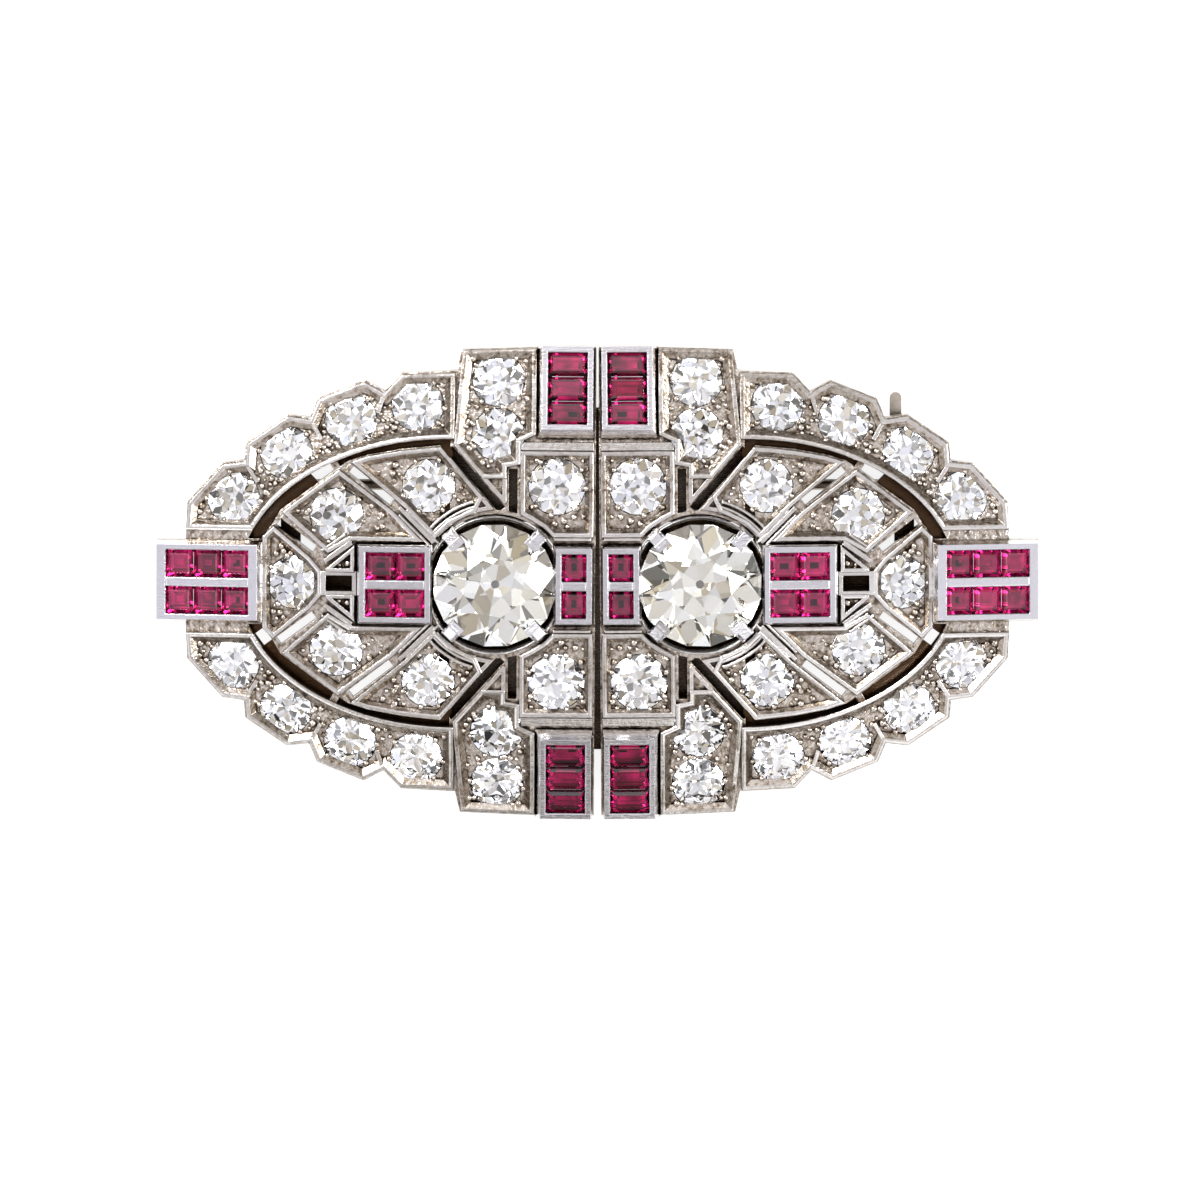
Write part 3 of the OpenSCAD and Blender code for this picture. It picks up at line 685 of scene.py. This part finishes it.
def makeCup():
    deselectAll()
    (topRadius, topZ), (footRadius, footZ) = cup["top"], cup["foot"]
    bpy.ops.mesh.primitive_cone_add(vertices=cup["sides"], radius1=footRadius * mm,
                                    radius2=topRadius * mm, depth=(topZ - footZ) * mm,
                                    end_fill_type="NOTHING")
    cone = bpy.context.object
    thicken = cone.modifiers.new("sheet", "SOLIDIFY")
    thicken.thickness = cup["thick"] * mm
    bpy.ops.object.modifier_apply(modifier=thicken.name)
    edit(cone)
    closeUp()
    middle = girdleHeight + (topZ + footZ) / 2
    cone.data.transform(onFace(clip["mainX"], 0) @ Matrix.Translation((0, 0, middle * mm)))
    bpy.ops.object.shade_smooth_by_angle(angle=radians(cup["smooth"]))
    return onBothClips(cone, "MainCup")


# frames and bars of the ruby panels

# mm: middle, field of stones, rim at the ends and along,
# foot that slopes out to the left, right, below, above
panels = {
    "side": ((26.42, 0), (5.64, 4.34), (0.76, 0.53), (0.3, 0.0, 0.1, 0.1)),
    "inner": ((13.68, 0), (4.0, 4.34), (0.53, 0.53), (0.0, 0.25, 0.1, 0.1)),
    "edge": ((1.59, 0), (1.64, 4.34), (0.53, 0.53), (0.0, 0.1, 0.15, 0.15)),
    "top": ((2.095, 13.14), (2.65, 4.92), (0.53, 0.53), (0.0, 0.25, 0.35, 0.0)),
    "bottom": ((2.095, -13.14), (2.65, 4.92), (0.53, 0.53), (0.0, 0.25, 0.0, 0.35)),
}
rim = {  # mm
    "top": 0.97,
    "shoulder": 0.13,
    "lip": 0.07,
    "sunk": 0.9,
    "bar": 0.68,
    "barRound": 0.12,
    "barThick": 0.6,
    "barEnds": 0.1,      # longer than the field, into the rims
}


def panelFrame(name, middle, field, rims, feet):
    w, h = field[0] / 2, field[1] / 2
    endRim, longRim = rims[0] - rim["shoulder"], rims[1] - rim["shoulder"]
    x, y = w + endRim, h + longRim
    shape = flatShape(name, [(-x, -y), (x, -y), (x, y), (-x, y)], rim["top"])
    edit(shape)
    bpy.ops.mesh.inset(thickness=(min(endRim, longRim) - rim["lip"]) * mm, depth=0)
    bpy.ops.mesh.inset(thickness=rim["lip"] * mm, depth=-rim["lip"] * mm)
    bpy.ops.mesh.delete(type="FACE")
    bpy.ops.mesh.select_all(action="SELECT")
    bpy.ops.mesh.extrude_region_move(TRANSFORM_OT_translate={"value": (0, 0, -rim["sunk"] * mm)})
    bpy.ops.object.mode_set(mode="OBJECT")
    shapeFeet(shape, w, endRim > longRim, feet)
    edit(shape, "EDGE")
    closeUp()
    shape.data.transform(onFace(*middle))
    return shape


def shapeFeet(shape, w, wideEnds, feet):  # inner corners go to the stones, lower ones outwards
    left, right, below, above = feet
    near = 0.001 * mm
    outerX = max(abs(v.co.x) for v in shape.data.vertices)
    outerY = max(abs(v.co.y) for v in shape.data.vertices)
    for vertex in shape.data.vertices:
        x, y, z = vertex.co
        xSide, ySide = (1 if x > 0 else -1), (1 if y > 0 else -1)
        if wideEnds and w * mm + near < abs(x) < outerX - near and abs(y) < outerY - near:
            lip = rim["lip"] if z > (rim["top"] - 0.01) * mm else 0
            vertex.co.x = (w + lip) * mm * xSide
        if z < rim["top"] / 2 * mm and abs(abs(x) - outerX) < near:
            vertex.co.x += (rim["shoulder"] + (right if x > 0 else left)) * mm * xSide
        if z < rim["top"] / 2 * mm and abs(abs(y) - outerY) < near:
            vertex.co.y += (rim["shoulder"] + (above if y > 0 else below)) * mm * ySide


def panelBar(middle, field):
    deselectAll()
    bpy.ops.mesh.primitive_cube_add(size=mm)
    bar = bpy.context.object
    edit(bar)
    bpy.ops.transform.resize(value=(field[0] + rim["barEnds"], rim["bar"], rim["barThick"]))
    bpy.ops.mesh.bevel(offset=rim["barRound"] * mm, segments=3)
    closeUp()
    lift = rim["top"] - rim["barThick"] / 2
    bar.data.transform(onFace(*middle) @ Matrix.Translation((0, 0, lift * mm)))
    return bar


stepCut = {
    "edge": 0.08,          # mm
    # each step: share of the stone's shorter side inwards, mm up or down
    "crown": [(0.07, 0.13), (0.06, 0.1), (0.06, 0.07)],
    "pavilion": [(0.07, 0.26), (0.1, 0.24), (0.12, 0.22), (0.1, 0.17)],
    "gap": 0.12,           # mm, between the solid's stones
    "tilt": 1.2,           # degrees, no stone sits quite level
    "grown": 0.09,         # mm, that gap nearly closed by the setter
    "seed": 5,
}
rows = {  # stones across and up, mm between the rows
    "side": (3, 2, rim["bar"]),
    "inner": (2, 2, rim["bar"]),
    "edge": (1, 2, rim["bar"]),
    "top": (1, 3, stepCut["gap"]),
    "bottom": (1, 3, stepCut["gap"]),
}


def stepStone(w, h):
    deselectAll()
    bpy.ops.mesh.primitive_cube_add(size=mm)
    stone = bpy.context.object
    edit(stone)
    bpy.ops.transform.resize(value=(w, h, stepCut["edge"]))
    for side, steps in ((1, stepCut["crown"]), (-1, stepCut["pavilion"])):
        bpy.ops.mesh.select_all(action="DESELECT")
        bpy.ops.object.mode_set(mode="OBJECT")
        for face in stone.data.polygons:
            face.select = face.normal.z * side > 0.9
        bpy.ops.object.mode_set(mode="EDIT")
        for inwards, along in steps:
            bpy.ops.mesh.inset(thickness=inwards * min(w, h) * mm, depth=along * mm)
    closeUp()
    return stone


def makeRubies():
    draw = Random(stepCut["seed"])
    tilt = radians(stepCut["tilt"])
    for name, (middle, field, *_) in panels.items():
        across, up, gapUp = rows[name]
        gapAcross = stepCut["gap"]
        w = (field[0] - (across - 1) * gapAcross) / across
        h = (field[1] - (up - 1) * gapUp) / up
        first = stepStone(w + (stepCut["grown"] if across > 1 else 0),
                          h + (stepCut["grown"] if gapUp == gapAcross else 0))
        fieldStones = []
        for column in range(across):
            for row in range(up):
                x = (column - (across - 1) / 2) * (w + gapAcross)
                y = (row - (up - 1) / 2) * (h + gapUp)
                place = onFace(*middle) @ Matrix.Translation((x * mm, y * mm, girdleHeight * mm))
                xTurn = Matrix.Rotation(draw.uniform(-tilt, tilt), 4, "X")
                yTurn = Matrix.Rotation(draw.uniform(-tilt, tilt), 4, "Y")
                fieldStones.append(copyOf(first, place @ xTurn @ yTurn))
        bpy.data.objects.remove(first)
        whole = joined(fieldStones, name + "Stones")
        both = onBothClips(whole, name.capitalize() + "Stones")
        for side, piece in zip(("left", "right"), both):
            giveFinish(piece, rubyFinish)
            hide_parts(side + "_" + name + "_rubies")


def makePanels():
    pieces = []
    for name, (middle, field, rims, feet) in panels.items():
        pieces.append(panelFrame(name, middle, field, rims, feet))
        if middle[1] == 0:
            pieces.append(panelBar(middle, field))
    return onBothClips(joined(pieces, "PanelFrames"), "PanelFrames")


for piece in makePanels():
    giveFinish(piece, platinumFinish)
makeRubies()
for piece in makeCup():
    giveFinish(piece, cupFinish)
print("panel frames, rubies and cups made")


# claws of the main stones

claw = {
    "width": 1.0,
    "reach": 0.66,         # over the stone
    "outside": 0.7,        # from the stone's edge to the wall
    "middle": 0.5,         # over the girdle
    "thick": 0.42,
    "taper": (0.72, 0.74),  # of the top face, along and across
    "worn": 0.05,
    "lean": 14,            # degrees, down towards the wall
    "angles": (47, 133, 227, 313),
}


def makeClaws():
    deselectAll()
    bpy.ops.mesh.primitive_cube_add(size=mm)
    first = bpy.context.object
    edit(first)
    bpy.ops.transform.resize(value=(claw["reach"] + claw["outside"], claw["width"], claw["thick"]))
    bpy.ops.mesh.select_all(action="DESELECT")
    bpy.ops.object.mode_set(mode="OBJECT")
    for face in first.data.polygons:  # the top face is drawn in a little, to four sloping sides
        face.select = face.normal.z > 0.9
    bpy.ops.object.mode_set(mode="EDIT")
    bpy.ops.transform.resize(value=(*claw["taper"], 1))
    bpy.ops.mesh.select_all(action="SELECT")
    bpy.ops.mesh.bevel(offset=claw["worn"] * mm, segments=2)
    closeUp()
    middle = clip["mainWidth"] / 2 + (claw["outside"] - claw["reach"]) / 2
    lift = girdleHeight + claw["middle"]
    place = (Matrix.Translation((middle * mm, 0, lift * mm))
             @ Matrix.Rotation(radians(claw["lean"]), 4, "Y"))
    claws = [copyOf(first, onFace(clip["mainX"], 0) @ Matrix.Rotation(radians(a), 4, "Z") @ place)
             for a in claw["angles"]]
    bpy.data.objects.remove(first)
    return onBothClips(joined(claws, "Claws"), "Claws")


for piece in makeClaws():
    giveFinish(piece, platinumFinish)
print("claws made")


# double bands and arcs

band = {
    "width": 0.2,
    "top": 0.42,
    "round": 0.05,
    "sunk": 0.5,
    "arcs": (5.12, 5.48, 5.84),  # mm from the main stone's middle
    "arcSteps": (40, 80, 5),     # degrees: from, to, between corners
}
bandLines = [  # mm, x and y of both ends
    [(13.0, 5.05), (10.75, 2.75)], [(13.5, 4.7), (11.3, 2.55)],
    [(18.35, 1.75), (16.7, 2.95)], [(18.75, 2.2), (17.1, 3.35)],
    [(0.45, 3.15), (3.0, 3.15)],
]


def bandWall(points):  # a thin raised wall along a few points
    left, right = [], []
    for index, (x, y) in enumerate(points):
        ax, ay = points[max(index - 1, 0)]
        bx, by = points[min(index + 1, len(points) - 1)]
        length = hypot(bx - ax, by - ay)
        nx, ny = -(by - ay) / length * band["width"] / 2, (bx - ax) / length * band["width"] / 2
        left.append((x + nx, y + ny))
        right.append((x - nx, y - ny))
    deselectAll()
    bpy.ops.mesh.primitive_grid_add(x_subdivisions=len(points) - 1, y_subdivisions=1, size=mm)
    shape = bpy.context.object
    for vertex, (x, y) in zip(shape.data.vertices, right + left):
        vertex.co = (x * mm, y * mm, (band["top"] - band["sunk"]) * mm)
    edit(shape)
    up = (band["sunk"] - band["round"]) * mm
    bpy.ops.mesh.extrude_region_move(TRANSFORM_OT_translate={"value": (0, 0, up)})
    bpy.ops.mesh.inset(thickness=band["round"] * mm, depth=band["round"] * mm)
    closeUp()
    bendToFace(shape)
    return shape


def makeBands():
    lines = list(bandLines)
    for r in band["arcs"]:
        lines.append([(clip["mainX"] + r * cos(radians(a)), r * sin(radians(a)))
                      for a in range(*band["arcSteps"])])
    shapes = []
    for points in lines:
        shapes.append(bandWall(points))
        shapes.append(bandWall(lower(points)))
    return onBothClips(joined(shapes, "Bands"), "Bands")


for piece in makeBands():
    giveFinish(piece, platinumFinish)
print("bands made")


# floor, light, camera

floor = {
    "size": 2.4,          # m
    "glass": [(0.3, "#969696"), (0.7, "#9C9C9C")],
    "cloud": 0.9,         # waves a mm
    "roughness": 0.9,
    "white": "#FFFFFF",   # lit from below
    "glow": 0.85,
}


def makeFloor():
    deselectAll()
    bpy.ops.mesh.primitive_plane_add(size=floor["size"], location=(0, 0, 0))
    ground = bpy.context.object
    ground.name = "lightTable"
    # opal glass of a light table: even white, a soft shadow, bright through the lower slots
    material, tree, shader = newMaterial("opalGlass")
    point = addNode(tree, "ShaderNodeTexCoord").outputs["Object"]
    cloud = addNode(tree, "ShaderNodeTexNoise", {"Scale": floor["cloud"] / mm, "Detail": 3.0},
                    {"Vector": point})
    tone = addNode(tree, "ShaderNodeValToRGB", {"stops": floor["glass"]}, {"Fac": cloud.outputs[0]})
    tree.links.new(tone.outputs[0], shader.inputs["Base Color"])
    for socket, value in (("Roughness", floor["roughness"]), ("Specular IOR Level", 0.0),
                          ("Emission Color", linear(floor["white"])),
                          ("Emission Strength", floor["glow"])):
        shader.inputs[socket].default_value = value
    giveFinish(ground, material)


tent = {
    # from level with the floor to straight above: a dark foot, white walls, a dimmer top
    "walls": [(0.0, "#4C4644"), (0.2, "#2E2826"), (0.36, "#B4ACA6"), (0.6, "#FFFFFF"),
              (0.85, "#FBFAFA"), (0.95, "#C6C4C6"), (1.0, "#B9B7BA")],
    # dark gaps between the tent's sheets, with warm and cool edges
    "sheets": [(0.38, "#1E1C1C"), (0.425, "#AC9C7C"), (0.47, "#FFFFFF"), (0.6, "#ECEEFA")],
    "sheetScale": 3.1,
    "sheetShare": 0.85,
    "strength": 1.6,
}


def makeWorld():
    world = bpy.data.worlds.new("studioTent")
    world.use_nodes = True
    tree = world.node_tree
    tree.nodes.clear()
    direction = addNode(tree, "ShaderNodeTexCoord").outputs["Generated"]
    split = addNode(tree, "ShaderNodeSeparateXYZ", links={0: direction})
    walls = addNode(tree, "ShaderNodeValToRGB", {"stops": tent["walls"]}, {"Fac": split.outputs[2]})
    patches = addNode(tree, "ShaderNodeTexNoise", {"Scale": tent["sheetScale"], "Detail": 1.0},
                      {"Vector": direction})
    sheets = addNode(tree, "ShaderNodeValToRGB", {"stops": tent["sheets"]},
                     {"Fac": patches.outputs[0]})
    light = addNode(tree, "ShaderNodeMix",
                    {"data_type": "RGBA", "blend_type": "MULTIPLY", 0: tent["sheetShare"]},
                    {6: walls.outputs[0], 7: sheets.outputs[0]})
    glow = addNode(tree, "ShaderNodeBackground", {"Strength": tent["strength"]},
                   {"Color": light.outputs[2]})
    addNode(tree, "ShaderNodeOutputWorld", links={"Surface": glow.outputs[0]})
    bpy.context.scene.world = world


lamps = {  # place and size in m, watts
    "keyLight": ((-0.4, 0.5, 0.55), (0.45, 0.35), 7.0),
    "fillLight": ((0.6, 0.1, 0.45), (0.25, 0.45), 3.5),
}


def softbox(name, place, size, watts):
    lamp = bpy.data.lights.new(name, "AREA")
    lamp.shape = "RECTANGLE"
    lamp.size, lamp.size_y = size
    lamp.energy = watts
    holder = bpy.data.objects.new(name, lamp)
    holder.location = place
    holder.rotation_euler = (-Vector(place)).to_track_quat("-Z", "Y").to_euler()
    bpy.context.collection.objects.link(holder)


camera = {
    "distance": 0.6,     # m
    "target": (0.00017, -0.0011, 0.006),
    "tilt": 6.0,         # degrees from straight above, towards the upper edge
    "frame": 0.0814,     # m across the picture at the target
    "sensor": 36.0,      # mm
    "clip": (0.02, 10),  # m
}


def makeCamera():
    view = bpy.data.cameras.new("camera")
    view.sensor_width = camera["sensor"]
    view.lens = camera["sensor"] * camera["distance"] / camera["frame"]
    view.clip_start, view.clip_end = camera["clip"]
    holder = bpy.data.objects.new("camera", view)
    tilt = radians(camera["tilt"])
    away = Vector((0, sin(tilt), cos(tilt)))
    holder.location = Vector(camera["target"]) + camera["distance"] * away
    holder.rotation_euler = (-tilt, 0, 0)
    bpy.context.collection.objects.link(holder)
    bpy.context.scene.camera = holder


makeFloor()
makeWorld()
for name, (place, size, watts) in lamps.items():
    softbox(name, place, size, watts)
makeCamera()
bpy.context.scene.view_settings.view_transform = "Standard"
print("floor, light and camera set")
